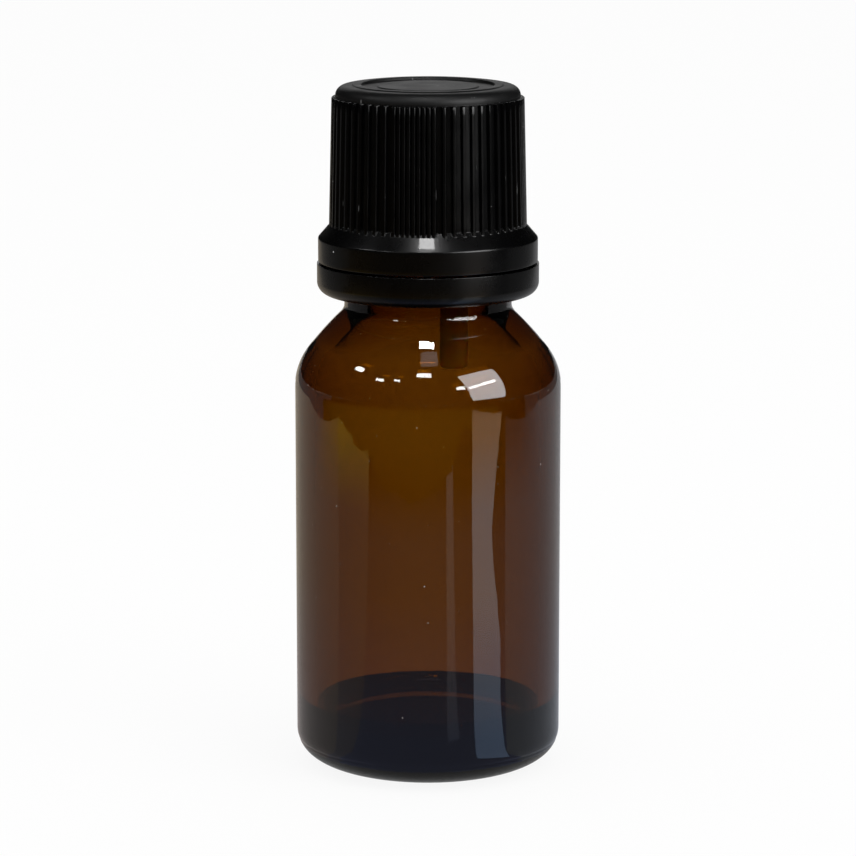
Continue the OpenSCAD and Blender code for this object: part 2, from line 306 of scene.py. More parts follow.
def sharpen(piece, degrees):
    """Keeps edges sharper than this angle crisp."""
    mesh = bmesh.new()
    mesh.from_mesh(piece.data)
    limit = math.radians(degrees)
    for edge in mesh.edges:
        if len(edge.link_faces) == 2 and edge.calc_face_angle() > limit:
            edge.smooth = False
    mesh.to_mesh(piece.data)
    mesh.free()


# Glass bottle


def glass_outline():
    """From the middle of the base up the outside, over the lip and down to the middle of the floor."""
    bearing_in = BEARING_R - BEARING_W
    base = curve((0, PUSH_UP_H), (bearing_in * PUSH_UP_FLAT, PUSH_UP_H), (bearing_in, 0), 20)
    heel = curve((BEARING_R, 0), (BODY_R, HEEL_DROP), (BODY_R, HEEL_H), 90)
    wall = line((BODY_R, HEEL_H), (BODY_R, SHOULDER_Z), 30)
    shoulder = arc(SHOULDER_C, SHOULDER_Z, SHOULDER_R, 0, SHOULDER_ARC, 30)
    cone_end = soft((NECK_R, NECK_FOOT_Z), GLASS_EDGE, (1, -math.tan(SHOULDER_SLOPE)), (0, 1), 10)
    cone_middle = ((shoulder[-1][0] + cone_end[0][0]) / 2, (shoulder[-1][1] + cone_end[0][1]) / 2)
    cone_bulge = (
        cone_middle[0] + 2 * CONE_BULGE * math.sin(SHOULDER_SLOPE),
        cone_middle[1] + 2 * CONE_BULGE * math.cos(SHOULDER_SLOPE),
    )
    cone = curve(shoulder[-1], cone_bulge, cone_end[0], 12)[1:-1]
    bead = soft((NECK_R, BEAD_Z), GLASS_EDGE, (0, -1), (0.6, 0))
    bead += soft((BEAD_R, BEAD_Z), BEAD_ROUND, (-1, 0), (0, 1))
    bead += soft((BEAD_R, BEAD_TOP_Z - BEAD_ROUND), BEAD_ROUND, (0, -1), (-1.4, 0.6))
    finish_foot = (FINISH_R, BEAD_TOP_Z)
    lip_foot = (FINISH_R, GLASS_H - LIP_R)
    finish = [finish_foot] + line(finish_foot, lip_foot, 90)
    lip = arc(FINISH_R - LIP_R, GLASS_H - LIP_R, LIP_R, 0, math.pi / 2, 8)
    mouth = arc(BORE_R + GLASS_EDGE, GLASS_H - GLASS_EDGE, GLASS_EDGE, math.pi / 2, math.pi, 6)
    bore = line(mouth[-1], (BORE_R, BORE_FOOT_Z + BORE_ROUND), 8)
    down_slope = (math.cos(INNER_SLOPE), -math.sin(INNER_SLOPE))
    bore_foot = soft((BORE_R, BORE_FOOT_Z), BORE_ROUND, (0, 1), down_slope, 20)
    inner_shoulder = arc(INNER_SHOULDER_C, SHOULDER_Z, INNER_SHOULDER_R, INNER_ARC, 0, 26)
    inner_cone = line(bore_foot[-1], inner_shoulder[0], 4)
    inner_wall = line((INNER_R, SHOULDER_Z), (INNER_R, FLOOR_Z + FLOOR_CORNER_R), 30)
    corner = arc(FLOOR_EDGE_R, FLOOR_Z + FLOOR_CORNER_R, FLOOR_CORNER_R, 0, -math.pi / 2, 14)
    floor_top = FLOOR_Z + FLOOR_CROWN_H
    floor = curve((FLOOR_EDGE_R, FLOOR_Z), (FLOOR_EDGE_R * 0.5, floor_top), (0, floor_top), 16)[1:]
    outside = base + heel + wall + shoulder + cone + cone_end + bead + finish + lip
    return outside + mouth + bore + bore_foot + inner_cone + inner_shoulder + inner_wall + corner + floor


def glass_shape(r, z, angle):
    """Thread on the finish, parting line on the heel and a mould seam on each side."""
    outer = r >= FINISH_R - NEAR
    in_finish = outer & (z > BEAD_TOP_Z - NEAR) & (z < GLASS_H - LIP_R + NEAR)
    thread = thread_bump(z, turn_of(angle), NECK_THREAD_Z, 0, NECK_THREAD_TURNS)
    r = r + np.where(in_finish, thread * THREAD_H, 0)
    on_heel = (r > BEARING_R) & (z < HEEL_H)
    ridge = np.exp(-((z - PARTING_Z) / PARTING_W) ** 2)
    r = r - np.where(on_heel, ridge * PARTING_H, 0)
    side = np.abs(np.sin(angle)) * r
    seam = np.exp(-(side / SEAM_W) ** 2)
    on_slopes = (r > SEAM_FROM_R) & (r < BODY_R - SEAM_H) & (z > PARTING_Z) & (z < BEAD_Z)
    r = r + np.where(on_slopes, seam * SEAM_H, 0)
    return r, z


# Screw cap


def top_outline():
    """The recessed middle of the cap's top, the raised ring round it and the crown's rounding."""
    disc_z = RECESS_Z + TOP_DISC_H
    top = [(0, disc_z), (TOP_DISC_R * 0.5, disc_z), (TOP_DISC_R - TOP_FLAT_END, disc_z)]
    top += soft((TOP_DISC_R, disc_z), TOP_ROUND, (-1, 0), (0.7, -0.7), 3)
    top += soft((TOP_DISC_R + TOP_DISC_H, RECESS_Z), TOP_ROUND, (-0.7, 0.7), (1, 0), 3)
    ring_in = TOP_RING_R - TOP_RING_W
    top += soft((ring_in, RECESS_Z), TOP_RING_ROUND, (-1, 0), (0.4, 0.9), 5)
    top += soft((ring_in + EDGE_R, CAP_TOP_Z), TOP_RING_ROUND, (-0.4, -0.9), (1, 0), 5)
    top += soft((TOP_RING_R, CAP_TOP_Z), TOP_STEP, (-1, 0), (0.5, -0.5), 5)
    top += soft((TOP_RING_R + TOP_STEP, CROWN_FLAT_Z), TOP_ROUND, (-0.7, 0.7), (1, 0), 3)
    crown_w = CROWN_R - CROWN_FLAT_R
    crown_h = CROWN_FLAT_Z - CROWN_FOOT_Z
    return top + arc(CROWN_FLAT_R, CROWN_FOOT_Z, crown_w, math.pi / 2, 0, 20, crown_h)


def skirt_outline():
    """The grip, whose ribs cap_shape raises, and the flare below it."""
    rib_top = (CROWN_R, RIB_TOP_Z)
    rib_full = (CROWN_R, RIB_TOP_Z - RIB_END_H)
    run_out = (GROOVE_FOOT_R, GROOVE_FOOT_Z + RUN_OUT_H)
    past_ribs = (GRIP_FOOT_R + PAST_RIBS_W, RIB_FOOT_Z - PAST_RIBS_H)
    flare_end = (BAND_R - FLARE_END_W, BAND_TOP_Z + FLARE_END_W * FLARE_SLOPE)
    skirt = line((CROWN_R, CROWN_FOOT_Z), rib_top, 6) + [rib_top]
    skirt += line(rib_top, rib_full, 8)
    skirt += line(rib_full, run_out, 14)
    skirt += line(run_out, past_ribs, 26)
    return skirt + line(past_ribs, flare_end, 6)


def cap_outline():
    """From the middle of the top, down the outside and up the inside to the crown's underside."""
    band = soft((BAND_R, BAND_TOP_Z), BAND_ROUND, (-0.6, 0.6 * FLARE_SLOPE), (0, -1), 8)
    band += line((BAND_R, BAND_TOP_Z - BAND_ROUND), (BAND_R, CAP_FOOT_Z + EDGE_R), 6)
    band += soft((BAND_R, CAP_FOOT_Z), EDGE_R, (0, 1), (-1, 0), 6)
    foot = line((BAND_R - EDGE_R, CAP_FOOT_Z), (BAND_IN_R + INNER_EDGE_R, CAP_FOOT_Z), 8)
    under_z = GROOVE_FOOT_Z - SKIRT_T
    inside = soft((BAND_IN_R, CAP_FOOT_Z), INNER_EDGE_R, (1, 0), (0, 1), 4)
    inside += [(BAND_IN_R, under_z - (BAND_IN_R - CAP_BORE_R)), (CAP_BORE_R, under_z)]
    seat_z = LINER_Z - LINER_GAP
    seat_r = LINER_R + LINER_GAP
    bore_top = (CAP_BORE_R, seat_z - (CAP_BORE_R - seat_r))
    inside += line((CAP_BORE_R, under_z), bore_top, 110) + [bore_top]
    crown_under = LINER_TOP_Z + LINER_GAP
    inside += [(seat_r, seat_z), (seat_r, crown_under), (seat_r * 0.5, crown_under), (0, crown_under)]
    return top_outline() + skirt_outline() + band + foot + inside


def rib_profile(angle):
    """How far a rib stands at each angle, from 0 in a groove to 1 on a crest."""
    degrees = np.degrees(angle - FRONT) - FIRST_RIB
    half_pitch = 180 / RIB_COUNT
    nearest = np.round(degrees / half_pitch)
    away = np.abs(degrees - nearest * half_pitch) * math.pi / 180 * GRIP_FOOT_R
    # Even places hold the main ribs, and the first odd places of each group hold finer ones
    place = np.mod(nearest, 2 * RIB_COUNT)
    main = np.mod(place, 2) == 0
    in_group = np.mod(place // 2, RIB_COUNT // RIB_GROUPS)
    stands = main | (in_group < FINE_PER_GROUP)
    foot = RIB_W / 2 + RIB_FILLET
    rise = np.clip((foot - away) / (foot - RIB_CREST_W / 2), 0, 1)
    return np.where(stands, eased(rise), 0)


def grip_radius(z, angle):
    """The outside of the grip, whose ribs round off at the top and run out on the flare."""
    up = (z - RIB_FOOT_Z) / (RIB_TOP_Z - RIB_FOOT_Z)
    crest = GRIP_FOOT_R + (GRIP_TOP_R - GRIP_FOOT_R) * up
    up_groove = (z - GROOVE_FOOT_Z) / (CROWN_FOOT_Z - GROOVE_FOOT_Z)
    groove = GROOVE_FOOT_R + (CROWN_R - GROOVE_FOOT_R) * up_groove
    rib_end = np.clip((RIB_TOP_Z - z) / RIB_END_H, 0, 1)
    stand = rib_profile(angle) * np.sqrt(1 - (1 - rib_end) ** 2)
    grip = groove + (crest - groove) * stand
    flare = BAND_R - (z - BAND_TOP_Z) / FLARE_SLOPE
    return np.maximum(grip, flare)


def cap_shape(r, z, angle):
    """Ribs on the grip, thread in the bore and bridge stubs on the foot."""
    outer = r > CAP_BORE_R + OUTER_SKIN
    on_grip = outer & (z <= RIB_TOP_Z + NEAR) & (z > BAND_TOP_Z + BAND_CLEAR)
    r = np.where(on_grip, grip_radius(z, angle), r)
    in_bore = np.abs(r - CAP_BORE_R) < NEAR
    thread_z = NECK_THREAD_Z - PITCH / 2
    thread = thread_bump(z, turn_of(angle), thread_z, CAP_THREAD_FROM, CAP_THREAD_TURNS)
    r = r - np.where(in_bore, thread * THREAD_H, 0)
    span = 2 * math.pi / BRIDGE_COUNT
    away = np.abs(np.mod(angle + span / 2, span) - span / 2) * BAND_R
    middle = (BAND_R + BAND_IN_R) / 2
    at_foot = (z < CAP_FOOT_Z + NEAR) & (np.abs(r - middle) < (BAND_R - BAND_IN_R) / 4)
    z = z - np.where(at_foot & (away < BRIDGE_W / 2), STUB_H, 0)
    return r, z


# Tamper ring and liner


def ring_outline():
    """Once round the ring's section, from the lug's foot."""
    low = (RING_R - RING_ROUND_R, RING_FOOT_Z + RING_ROUND_R)
    groove_z = LUG_TOP_Z - LUG_GAP
    outline = line((LUG_R, RING_FOOT_Z), (low[0], RING_FOOT_Z), 4)
    outline += arc(low[0], low[1], RING_ROUND_R, -math.pi / 2, 0, 20)
    outline += soft((RING_R, RING_TOP_Z), CUT_EDGE, (0, -1), (-1, 0), 6)
    outline += line((RING_R - CUT_EDGE, RING_TOP_Z), (BAND_IN_R + INNER_EDGE_R, RING_TOP_Z), 3)
    outline += soft((BAND_IN_R, RING_TOP_Z), INNER_EDGE_R, (1, 0), (0, -1), 4)
    outline += [(BAND_IN_R, groove_z + INNER_EDGE_R), (BAND_IN_R - INNER_EDGE_R / 2, groove_z)]
    outline += soft((LUG_R, LUG_TOP_Z), LUG_ROUND, (1, -0.3), (0, -1), 4)
    outline += soft((LUG_R, RING_FOOT_Z), EDGE_R, (0, 1), (1, 0), 4)
    return outline


def ring_shape(r, z, angle):
    """Slots between the lugs that hold the ring under the bead."""
    span = 2 * math.pi / LUG_COUNT
    away = np.abs(np.mod(angle, span) - span / 2) * LUG_R
    in_slot = away < LUG_SLOT_W / 2
    cut_back = BAND_IN_R + (r - LUG_R) * SLOT_SLOPE
    return np.where(in_slot & (r < BAND_IN_R), cut_back, r), z


def liner_outline():
    """A disc with a bevel round its lower face."""
    outline = [(0, LINER_Z), (LINER_R * 0.5, LINER_Z)]
    outline += soft((LINER_R - LINER_BEVEL, LINER_Z), LINER_ROUND, (-1, 0), (0.7, 0.7), 4)
    outline += soft((LINER_R, LINER_Z + LINER_BEVEL), LINER_ROUND, (-0.7, -0.7), (0, 1), 4)
    outline += soft((LINER_R, LINER_TOP_Z), LINER_ROUND, (0, -1), (-1, 0), 4)
    return outline + [(LINER_R * 0.5, LINER_TOP_Z), (0, LINER_TOP_Z)]


# Materials

WHITE = (1, 1, 1, 1)

# Amber glass, with its absorption per metre
GLASS_IOR = 1.5
GLASS_TINT = (0.678, 0.523, 0.02, 1)
GLASS_DENSITY = 1900.0
GLASS_DUST = (0.7, 0.68, 0.66, 1)

# Black plastic; one finish turns into the next within FINISH_EDGE, and no piece reaches ABOVE_ALL
POLISHED_BLACK = (0.0006, 0.0006, 0.0008, 1)
CROWN_BLACK = (0.004, 0.004, 0.0043, 1)
CAP_DUST = (0.55, 0.55, 0.55, 1)
CAP_SPECULAR = 0.2
CAP_IOR = 1.49
COAT_ROUGHNESS = 0.03
FINISH_EDGE = 0.0001
ABOVE_ALL = 0.1


class Nodes:
    """A short way to write the node tree of a material or a world."""

    def __init__(self, name, owner=None, output="ShaderNodeOutputMaterial"):
        self.owner = owner or bpy.data.materials.new(name)
        self.owner.use_nodes = True
        self.tree = self.owner.node_tree
        self.tree.nodes.clear()
        self.output = self.add(output)
        self.place = self.add("ShaderNodeTexCoord").outputs["Object"]

    def add(self, kind, settings=None, **inputs):
        """A node with its settings and inputs; in an input's name, an underscore stands for a space."""
        node = self.tree.nodes.new(kind)
        for key, value in (settings or {}).items():
            setattr(node, key, value)
        for key, value in inputs.items():
            self.put(node.inputs[key.replace("_", " ")], value)
        return node

    def put(self, socket, value):
        """Links a socket to an input, or sets the input to a number or colour."""
        if isinstance(value, bpy.types.NodeSocket):
            self.tree.links.new(value, socket)
        else:
            socket.default_value = value

    def noise(self, scale, detail=3.0, roughness=0.5, vector=None):
        node = self.add("ShaderNodeTexNoise", Scale=scale, Detail=detail, Roughness=roughness)
        self.put(node.inputs["Vector"], self.place if vector is None else vector)
        return node.outputs["Fac"]

    def stretched(self, x, y, z):
        """The place on the object, scaled along each axis."""
        node = self.add("ShaderNodeVectorMath", {"operation": "MULTIPLY"})
        self.put(node.inputs[0], self.place)
        self.put(node.inputs[1], (x, y, z))
        return node.outputs["Vector"]

    def ramp(self, value, low, high, to_low=0.0, to_high=1.0):
        """A value brought from one range to another and held within it."""
        node = self.add("ShaderNodeMapRange", {"clamp": True})
        for socket, number in zip(node.inputs, (value, low, high, to_low, to_high)):
            self.put(socket, number)
        return node.outputs["Result"]

    def math(self, operation, a, b=0.0):
        node = self.add("ShaderNodeMath", {"operation": operation})
        self.put(node.inputs[0], a)
        self.put(node.inputs[1], b)
        return node.outputs["Value"]

    def mix(self, factor, a, b):
        """Colour a where the factor is 0 and colour b where it is 1."""
        node = self.add("ShaderNodeMix", {"data_type": "RGBA"})
        self.put(node.inputs["Factor"], factor)
        self.put(node.inputs[6], a)
        self.put(node.inputs[7], b)
        return node.outputs[2]

    def blend(self, factor, a, b):
        """Number a where the factor is 0 and number b where it is 1."""
        node = self.add("ShaderNodeMix", {"data_type": "FLOAT"})
        for place, value in ((0, factor), (2, a), (3, b)):
            self.put(node.inputs[place], value)
        return node.outputs[0]

    def bump(self, height, strength, distance, normal=None):
        node = self.add("ShaderNodeBump", Strength=strength, Distance=distance, Height=height)
        if normal is not None:
            self.put(node.inputs["Normal"], normal)
        return node.outputs["Normal"]

    def along(self, axis, vector=None):
        """One coordinate of the place on the object, or of another vector."""
        node = self.add("ShaderNodeSeparateXYZ", Vector=self.place if vector is None else vector)
        return node.outputs[axis]

    def specks(self, scale, size, share):
        """Round specks of dust, where a random share of the cells holds one."""
        cells = self.add("ShaderNodeTexVoronoi", {"feature": "F1"}, Scale=scale, Vector=self.place)
        near = self.ramp(cells.outputs["Distance"], size * 0.6, size, 1.0, 0.0)
        chosen = self.math("LESS_THAN", self.along("X", cells.outputs["Color"]), share)
        return self.math("MULTIPLY", near, chosen)

    def mix_shaders(self, factor, a, b):
        """Shader a where the factor is 0 and shader b where it is 1."""
        node = self.add("ShaderNodeMixShader", Fac=factor)
        self.tree.links.new(a.outputs[0], node.inputs[1])
        self.tree.links.new(b.outputs[0], node.inputs[2])
        return node

    def finish(self, shader):
        self.tree.links.new(shader.outputs[0], self.output.inputs["Surface"])
        return self.owner


def amber_glass():
    """Clear glass coloured by its thickness, with soft waves, fine ripples, smudges and a little dust."""
    n = Nodes("amber_glass")
    waves = n.noise(140, 2.0, 0.4, n.stretched(1, 1, 0.35))
    ripple = n.noise(420, 2.0, 0.5)
    normal = n.bump(ripple, 0.25, 0.00002, n.bump(waves, 0.5, 0.00008))
    smudge = n.ramp(n.noise(260, 5.0, 0.65), 0.5, 0.75, 0.0, 0.05)
    shader = n.add("ShaderNodeBsdfPrincipled", Roughness=smudge, Normal=normal)
    shader.inputs["Base Color"].default_value = WHITE
    shader.inputs["IOR"].default_value = GLASS_IOR
    shader.inputs["Transmission Weight"].default_value = 1.0
    dust = n.add("ShaderNodeBsdfDiffuse", Color=GLASS_DUST)
    specks = n.math("MULTIPLY", n.specks(2600, 0.2, 0.004), 0.5)
    absorb = n.add("ShaderNodeVolumeAbsorption", Color=GLASS_TINT, Density=GLASS_DENSITY)
    n.tree.links.new(absorb.outputs[0], n.output.inputs["Volume"])
    return n.finish(n.mix_shaders(specks, shader, dust))


def black_plastic(name, ribs_from, crown_from):
    """Black polypropylene: polished low down, satin from one height up and matt from another."""
    n = Nodes(name)
    ribs = n.ramp(n.along("Z"), ribs_from - FINISH_EDGE, ribs_from + FINISH_EDGE)
    crown = n.ramp(n.along("Z"), crown_from - FINISH_EDGE, crown_from + FINISH_EDGE)
    grain = n.noise(5200, 4.0, 0.6)
    cloud = n.noise(300, 4.0, 0.6)
    dust_cloud = n.ramp(n.noise(520, 5.0, 0.7), 0.52, 0.78, 0.0, 0.5)
    dust = n.math("MULTIPLY", dust_cloud, n.ramp(n.noise(9000, 2.0, 0.6), 0.55, 0.75))
    scratch_place = n.stretched(1, 1, 0.12)
    scratches = n.ramp(n.noise(2100, 2.0, 0.5, scratch_place), 0.71, 0.76, 0.0, 0.25)
    specks = n.specks(900, 0.1, 0.05)
    marks = n.math("MAXIMUM", specks, n.math("MULTIPLY", scratches, ribs))
    dusty = n.math("MAXIMUM", marks, n.math("MULTIPLY", dust, 0.03))
    base = n.mix(crown, n.mix(dusty, POLISHED_BLACK, CAP_DUST), n.mix(dusty, CROWN_BLACK, CAP_DUST))
    rough_low = n.ramp(cloud, 0.3, 0.7, 0.25, 0.31)
    rough_ribs = n.ramp(cloud, 0.3, 0.7, 0.2, 0.27)
    rough_crown = n.ramp(cloud, 0.3, 0.7, 0.42, 0.52)
    rough = n.blend(crown, n.blend(ribs, rough_low, rough_ribs), rough_crown)
    strength = n.blend(crown, n.blend(ribs, 0.03, 0.12), 0.35)
    normal = n.bump(grain, strength, 0.00002)
    polish = n.blend(ribs, 0.1, 0.0)
    shader = n.add("ShaderNodeBsdfPrincipled", Roughness=rough, Normal=normal)
    n.put(shader.inputs["Base Color"], base)
    n.put(shader.inputs["Coat Weight"], polish)
    shader.inputs["Specular IOR Level"].default_value = CAP_SPECULAR
    shader.inputs["Coat Roughness"].default_value = COAT_ROUGHNESS
    shader.inputs["IOR"].default_value = CAP_IOR
    return n.finish(shader)


def natural_polyethylene():
    """Milky, slightly see-through polyethylene with a satin skin."""
    n = Nodes("natural_polyethylene")
    cloud = n.noise(380, 4.0, 0.55)
    base = n.mix(n.ramp(cloud, 0.3, 0.7), (0.74, 0.76, 0.74, 1), (0.86, 0.87, 0.86, 1))
    rough = n.ramp(n.noise(700, 3.0, 0.6), 0.3, 0.7, 0.3, 0.42)
    normal = n.bump(n.noise(2400, 3.0, 0.5), 0.15, 0.00003)
    shader = n.add("ShaderNodeBsdfPrincipled", Roughness=rough, Normal=normal)
    n.put(shader.inputs["Base Color"], base)
    shader.inputs["IOR"].default_value = 1.51
    shader.inputs["Subsurface Weight"].default_value = 0.6
    shader.inputs["Subsurface Scale"].default_value = 0.002
    shader.inputs["Transmission Weight"].default_value = 0.25
    return n.finish(shader)


def white_foam():
    """Matt white foam with fine cells, painted darker in their hollows as shade."""
    n = Nodes("white_foam")
    cells = n.add("ShaderNodeTexVoronoi", {"feature": "F1"}, Scale=3800.0, Vector=n.place)
    # Painted shade: each cell is darker in its hollow, where the bump is low, and lighter towards its rim
    shade = n.ramp(cells.outputs["Distance"], 0.1, 0.7)
    base = n.mix(shade, (0.82, 0.82, 0.8, 1), (0.93, 0.93, 0.91, 1))
    normal = n.bump(cells.outputs["Distance"], 0.3, 0.00006)
    rough = n.ramp(shade, 0, 1, 0.7, 0.85)
    shader = n.add("ShaderNodeBsdfPrincipled", Roughness=rough, Normal=normal)
    n.put(shader.inputs["Base Color"], base)
    shader.inputs["Subsurface Weight"].default_value = 0.3
    shader.inputs["Subsurface Scale"].default_value = 0.001
    return n.finish(shader)


# Studio

# Lamps stand on a sphere about a point on the bottle's axis; the dome starts this many degrees up
LAMP_R = 900
AIM_Z = 45
ROOM_R = 1600
DOME_FROM = 30.0
FLOOR_R = 6000

# Heights of the cards above the floor: a lower card shows where the upper ones end
ROOM_FLOOR_Z = 0.3
FAR_FLOOR_Z = 0.4
HEEL_GLOW_Z = 0.5
TABLE_Z = 0.6
STRIP_Z = 0.9

# How the cards follow the bottle's foot, and the azimuths at which they meet there
FOOT_GAP = 0.15
ARC_STEP = 6
LEFT_MEETS = -60
FRONT_MEETS = -50
RIGHT_MEETS = 54

# Lines and edges of the table from above, with the bottle's axis at (0, 0)
LEFT_LINE = [(-17, -10), (-214, -33)]
LEFT_CORNER = [(-188, -75), (-150, -125)]
FRONT_EDGE = [(-150, -125), (-95, -136), (-62, -148), (-20, -158), (40, -168), (110, -187), (196, -99)]
RIGHT_LINE = [(205, -82), (17, -14)]
STRIP_LEFT = [(10, -18), (148, -193)]
STRIP_RIGHT = [(208, -100), (172, -94), (138, -89), (111, -81), (94, -66), (80, -50), (64, -37)]
STRIP_RIGHT += [(41, -27), (13, -12)]
FAINT_LINE = [(7, -30), (45, -168), (66, -172), (12, -30)]

# The heel's glow, and the cards that darken what is seen through the glass
HEEL_GLOW_IN_R = 9.6
HEEL_GLOW_OUT_R = 14.7
CONTACT_R = 28
CONTACT_Z = 0.2
SHADE_IN_R = 15.3
SHADE_OUT_R = 350
SHADE_Z = 30


def seen(thing, camera=False, diffuse=False, glossy=False, through=False, shadow=False):
    """Sets which rays see a lamp or a card."""
    thing.visible_camera = camera
    thing.visible_diffuse = diffuse
    thing.visible_glossy = glossy
    thing.visible_transmission = through
    thing.visible_shadow = shadow
    thing.visible_volume_scatter = False


def direction(azimuth, elevation):
    """Azimuth 0 is towards the camera, positive to the right as the camera sees it."""
    a = math.radians(azimuth)
    e = math.radians(elevation)
    return Vector((math.sin(a) * math.cos(e), -math.cos(a) * math.cos(e), math.sin(e)))


def softbox(name, azimuth, elevation, wide, high, radiance, tilt=0.0, **rays):
    """A rectangular lamp that covers wide by high degrees of the view from the bottle."""
    lamp = bpy.data.lights.new(name, "AREA")
    lamp.shape = "RECTANGLE"
    lamp.size = 2 * LAMP_R * MM * math.tan(math.radians(wide / 2))
    lamp.size_y = 2 * LAMP_R * MM * math.tan(math.radians(high / 2))
    lamp.energy = radiance * math.pi * lamp.size * lamp.size_y
    thing = bpy.data.objects.new(name, lamp)
    away = direction(azimuth, elevation)
    thing.location = (Vector((0, 0, AIM_Z)) + away * LAMP_R) * MM
    turned = Quaternion((0, 0, 1), math.radians(tilt))
    thing.rotation_euler = (away.to_track_quat("Z", "Y") @ turned).to_euler()
    bpy.context.scene.collection.objects.link(thing)
    seen(thing, **rays)


def glow(name, radiance):
    """A card that gives off white light of one level."""
    n = Nodes(name)
    return n.finish(n.add("ShaderNodeEmission", Color=WHITE, Strength=radiance))


# Painted reflections: these cards glow with the lit and shaded table, and the cap and glass mirror them
def reflected_table_light(name, beside, beyond, far=None, fade=None, faded=(0, 0, 0)):
    """Glowing colour that paints the table's light and shade as reflections show it: beside the bottle,
    beyond, far in front, and faded where it ends.
    """
    n = Nodes(name)
    distance = n.add("ShaderNodeVectorMath", {"operation": "LENGTH"})
    n.put(distance.inputs[0], n.place)
    away = distance.outputs["Value"]
    colour = n.mix(n.ramp(away, 0.03, 0.1), (*beside, 1), (*beyond, 1))
    if far is not None:
        in_front = n.ramp(n.along("Y"), -0.03, 0.06, 1.0, 0.0)
        colour = n.mix(n.math("MULTIPLY", n.ramp(away, 0.15, 0.205), in_front), colour, (*far, 1))
    if fade is not None:
        colour = n.mix(n.ramp(away, *fade), colour, (*faded, 1))
    shader = n.add("ShaderNodeEmission", Strength=1.0)
    n.put(shader.inputs["Color"], colour)
    return n.finish(shader)


def flat_card(name, outline, height, material):
    """A card on the table, seen only in reflections; its outline is (x, y) in millimetres."""
    mesh = bmesh.new()
    mesh.faces.new([mesh.verts.new((x * MM, y * MM, height * MM)) for x, y in outline])
    piece = finished(name, mesh)
    piece.data.materials.append(material)
    seen(piece, glossy=True)


def foot_arc(start, end, r=BODY_R + FOOT_GAP):
    """Points every few degrees round the bottle's foot, or a wider circle, from one azimuth to another."""
    count = max(2, round(abs(end - start) / ARC_STEP))
    around = [direction(a, 0) * r for a in np.linspace(start, end, count + 1)]
    return [(p.x, p.y) for p in around]


def round_card(name, inner, outer, height, material, **rays):
    """A flat ring about the bottle's axis."""
    mesh = bmesh.new()
    columns = 96
    around = [direction(a, 0) for a in np.linspace(0, 360, columns + 1)]
    rings = []
    for r in (inner, outer):
        rings.append([mesh.verts.new((d.x * r * MM, d.y * r * MM, height * MM)) for d in around])
    for i in range(columns):
        mesh.faces.new((rings[0][i], rings[1][i], rings[1][i + 1], rings[0][i + 1]))
    piece = finished(name, mesh)
    piece.data.materials.append(material)
    seen(piece, **rays)


def dark_room():
    """The unlit studio round the set: all of it in reflections, its upper part through the glass."""
    for name, radiance, lowest, rays in (
        ("studio_room", 0.01, -90, {"glossy": True}),
        ("studio_dome", 0.08, DOME_FROM, {"through": True}),
    ):
        mesh = bmesh.new()
        bmesh.ops.create_uvsphere(mesh, u_segments=48, v_segments=60, radius=ROOM_R * MM)
        floor_z = (ROOM_R * math.sin(math.radians(lowest)) - 1) * MM
        below = [vertex for vertex in mesh.verts if vertex.co.z < floor_z]
        bmesh.ops.delete(mesh, geom=below, context="VERTS")
        room = finished(name, mesh)
        room.data.materials.append(glow(name, radiance))
        seen(room, **rays)


def shade_from_below():
    """Dark to rays that come up from the glass floor, clear to those that come down."""
    n = Nodes("low_shade")
    dark = n.add("ShaderNodeEmission", Strength=0.02)
    clear = n.add("ShaderNodeBsdfTransparent")
    side = n.add("ShaderNodeNewGeometry")
    return n.finish(n.mix_shaders(side.outputs["Backfacing"], clear, dark))


def white_view(n):
    """1 for the rays that see the white surroundings: camera, glossy and transmission."""
    path = n.add("ShaderNodeLightPath")
    first = n.math("MAXIMUM", path.outputs["Is Camera Ray"], path.outputs["Is Glossy Ray"])
    return n.math("MAXIMUM", first, path.outputs["Is Transmission Ray"])


def floor():
    """White paper that keeps a faint shadow."""
    mesh = bmesh.new()
    bmesh.ops.create_circle(mesh, cap_ends=True, segments=96, radius=FLOOR_R * MM)
    piece = finished("studio_floor", mesh)
    n = Nodes("studio_floor")
    tone = n.mix(n.noise(30, 4.0, 0.6), (0.93, 0.93, 0.93, 1), (0.95, 0.95, 0.95, 1))
    paper = n.add("ShaderNodeBsdfDiffuse", Color=tone)
    white = n.add("ShaderNodeEmission", Color=WHITE, Strength=1.0)
    shown = n.math("MULTIPLY", white_view(n), 0.9)
    piece.data.materials.append(n.finish(n.mix_shaders(shown, paper, white)))


def world():
    """White to look at, and a little dimmer as a light."""
    studio = bpy.data.worlds.new("studio")
    bpy.context.scene.world = studio
    n = Nodes("studio", studio, "ShaderNodeOutputWorld")
    plain = n.add("ShaderNodeBackground", Color=WHITE, Strength=0.75)
    white = n.add("ShaderNodeBackground", Color=WHITE, Strength=1.0)
    n.finish(n.mix_shaders(white_view(n), plain, white))


def lights():
    """Two soft lamps that light the set, and those that only show in what mirrors them."""
    softbox("key_soft", 55, 35, 40, 40, 1.5, diffuse=True, shadow=True)
    softbox("top_soft", -20, 75, 60, 60, 0.5, diffuse=True, shadow=True)
    mirrored = {"glossy": True, "through": True}
    softbox("key_gloss", 54, 25, 33, 43, 8, **mirrored)
    softbox("key_band", 52, 27, 26, 3.4, 22, tilt=10, **mirrored)
    softbox("top_gloss", -3, 74, 10.5, 3.2, 90, **mirrored)
    softbox("top_low", 2, 68.5, 11, 5, 1.2, **mirrored)
    softbox("second_gloss", -5, 50, 11, 8, 25, **mirrored)
    softbox("left_gloss", -80, 42, 9, 5, 30, **mirrored)
    softbox("left_small", -48, 35, 7, 4, 25, **mirrored)
    softbox("left_spot", -31, 38, 5, 3, 25, **mirrored)
    softbox("right_spot", 30, 25, 7, 5, 25, **mirrored)
    softbox("back_glow", 180, 20, 34, 24, 0.85, glossy=True)


